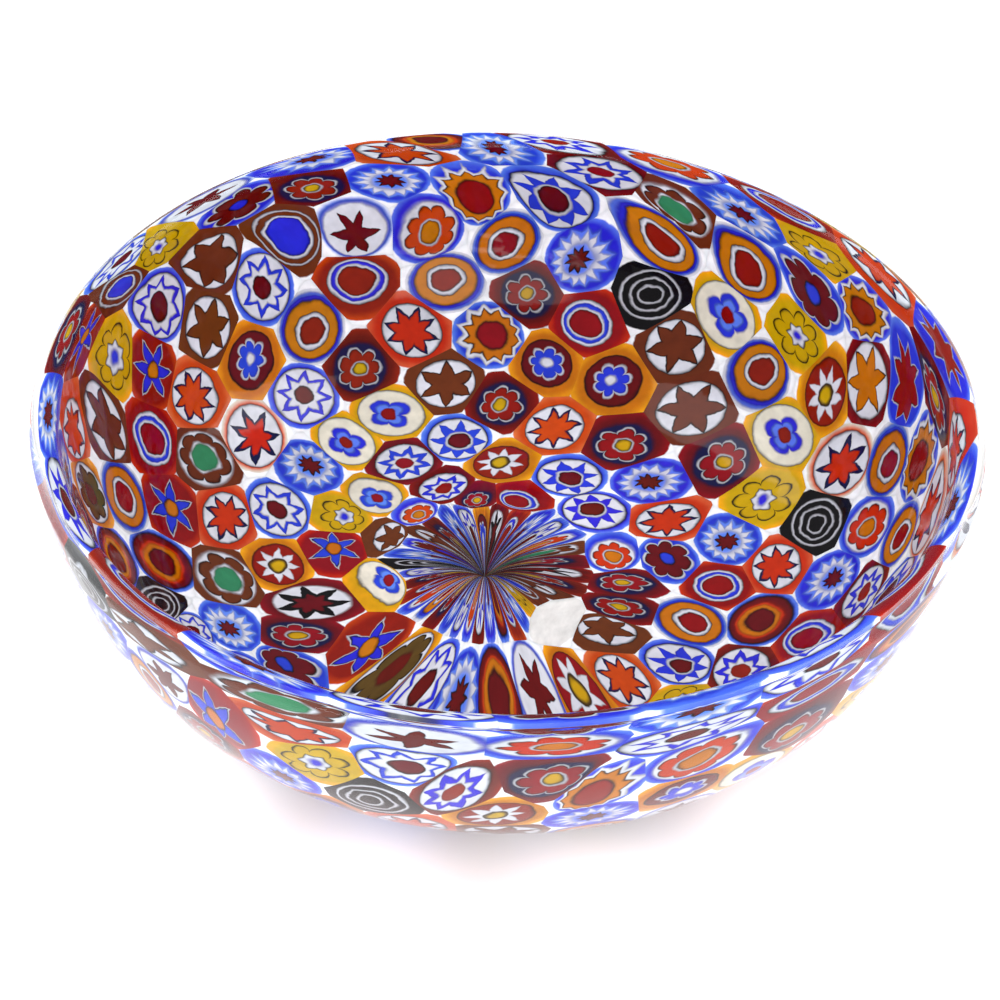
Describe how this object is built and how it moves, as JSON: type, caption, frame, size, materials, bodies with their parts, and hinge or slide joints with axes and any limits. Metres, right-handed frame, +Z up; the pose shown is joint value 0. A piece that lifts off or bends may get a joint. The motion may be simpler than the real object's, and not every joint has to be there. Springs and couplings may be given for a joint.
{
  "type": "art glass bowl",
  "caption": "Round handblown glass bowl: a mosaic of patterned cane slices, drawn to a swirl in its floor, cased in clear glass with a rounded lip.",
  "frame": {"origin": "centre of the flat ground foot, in the plane that the bowl stands on", "axes": "+Z up, along the bowl's axis and out of its mouth; +X and +Y level, with the picture taken from the -Y side"},
  "size_m": [0.16, 0.16, 0.0523],
  "materials": {
    "clear_glass": "fire-polished clear glass",
    "murrine_blue": "glossy patterned cane glass with blue jackets",
    "murrine_red": "glossy patterned cane glass with red jackets",
    "murrine_white": "glossy patterned cane glass with white jackets",
    "murrine_orange": "glossy patterned cane glass with orange jackets",
    "murrine_amber": "glossy patterned cane glass with amber jackets",
    "murrine_brown": "glossy patterned cane glass with brown jackets",
    "swirl_glass": "glossy streaked glass, drawn ends of every cane colour"
  },
  "bodies": {
    "root": {"crystal_casing": "clear_glass", "murrine_row1_panel1": "murrine_blue", "murrine_row1_panel2": "murrine_red", "murrine_row1_panel3": "murrine_white", "murrine_row1_panel4": "murrine_orange", "murrine_row1_panel5": "murrine_amber", "murrine_row1_panel6": "murrine_brown", "murrine_row1_panel7": "murrine_blue", "murrine_row2_panel1": "murrine_orange", "murrine_row2_panel2": "murrine_amber", "murrine_row2_panel3": "murrine_brown", "murrine_row2_panel4": "murrine_blue", "murrine_row2_panel5": "murrine_blue", "murrine_row2_panel6": "murrine_red", "murrine_row2_panel7": "murrine_white", "murrine_row3_panel1": "murrine_blue", "murrine_row3_panel2": "murrine_blue", "murrine_row3_panel3": "murrine_red", "murrine_row3_panel4": "murrine_white", "murrine_row3_panel5": "murrine_orange", "murrine_row3_panel6": "murrine_amber", "murrine_row3_panel7": "murrine_brown", "murrine_row4_panel1": "murrine_white", "murrine_row4_panel2": "murrine_orange", "murrine_row4_panel3": "murrine_amber", "murrine_row4_panel4": "murrine_brown", "murrine_row4_panel5": "murrine_blue", "murrine_row4_panel6": "murrine_blue", "murrine_row4_panel7": "murrine_red", "murrine_row5_panel1": "murrine_brown", "murrine_row5_panel2": "murrine_blue", "murrine_row5_panel3": "murrine_blue", "murrine_row5_panel4": "murrine_red", "murrine_row5_panel5": "murrine_white", "murrine_row5_panel6": "murrine_orange", "murrine_row5_panel7": "murrine_amber", "murrine_row6_panel1": "murrine_red", "murrine_row6_panel2": "murrine_white", "murrine_row6_panel3": "murrine_orange", "murrine_row6_panel4": "murrine_amber", "murrine_row6_panel5": "murrine_brown", "murrine_row6_panel6": "murrine_blue", "murrine_row6_panel7": "murrine_blue", "murrine_row7_panel1": "murrine_amber", "murrine_row7_panel2": "murrine_brown", "murrine_row7_panel3": "murrine_blue", "murrine_row7_panel4": "murrine_blue", "murrine_row7_panel5": "murrine_red", "murrine_row7_panel6": "murrine_white", "murrine_row7_panel7": "murrine_orange", "murrine_row8_panel1": "murrine_blue", "murrine_row8_panel2": "murrine_red", "murrine_row8_panel3": "murrine_white", "murrine_row8_panel4": "murrine_orange", "murrine_row8_panel5": "murrine_amber", "murrine_row8_panel6": "murrine_brown", "murrine_row8_panel7": "murrine_blue", "swirl": "swirl_glass"}
  },
  "joints": []
}
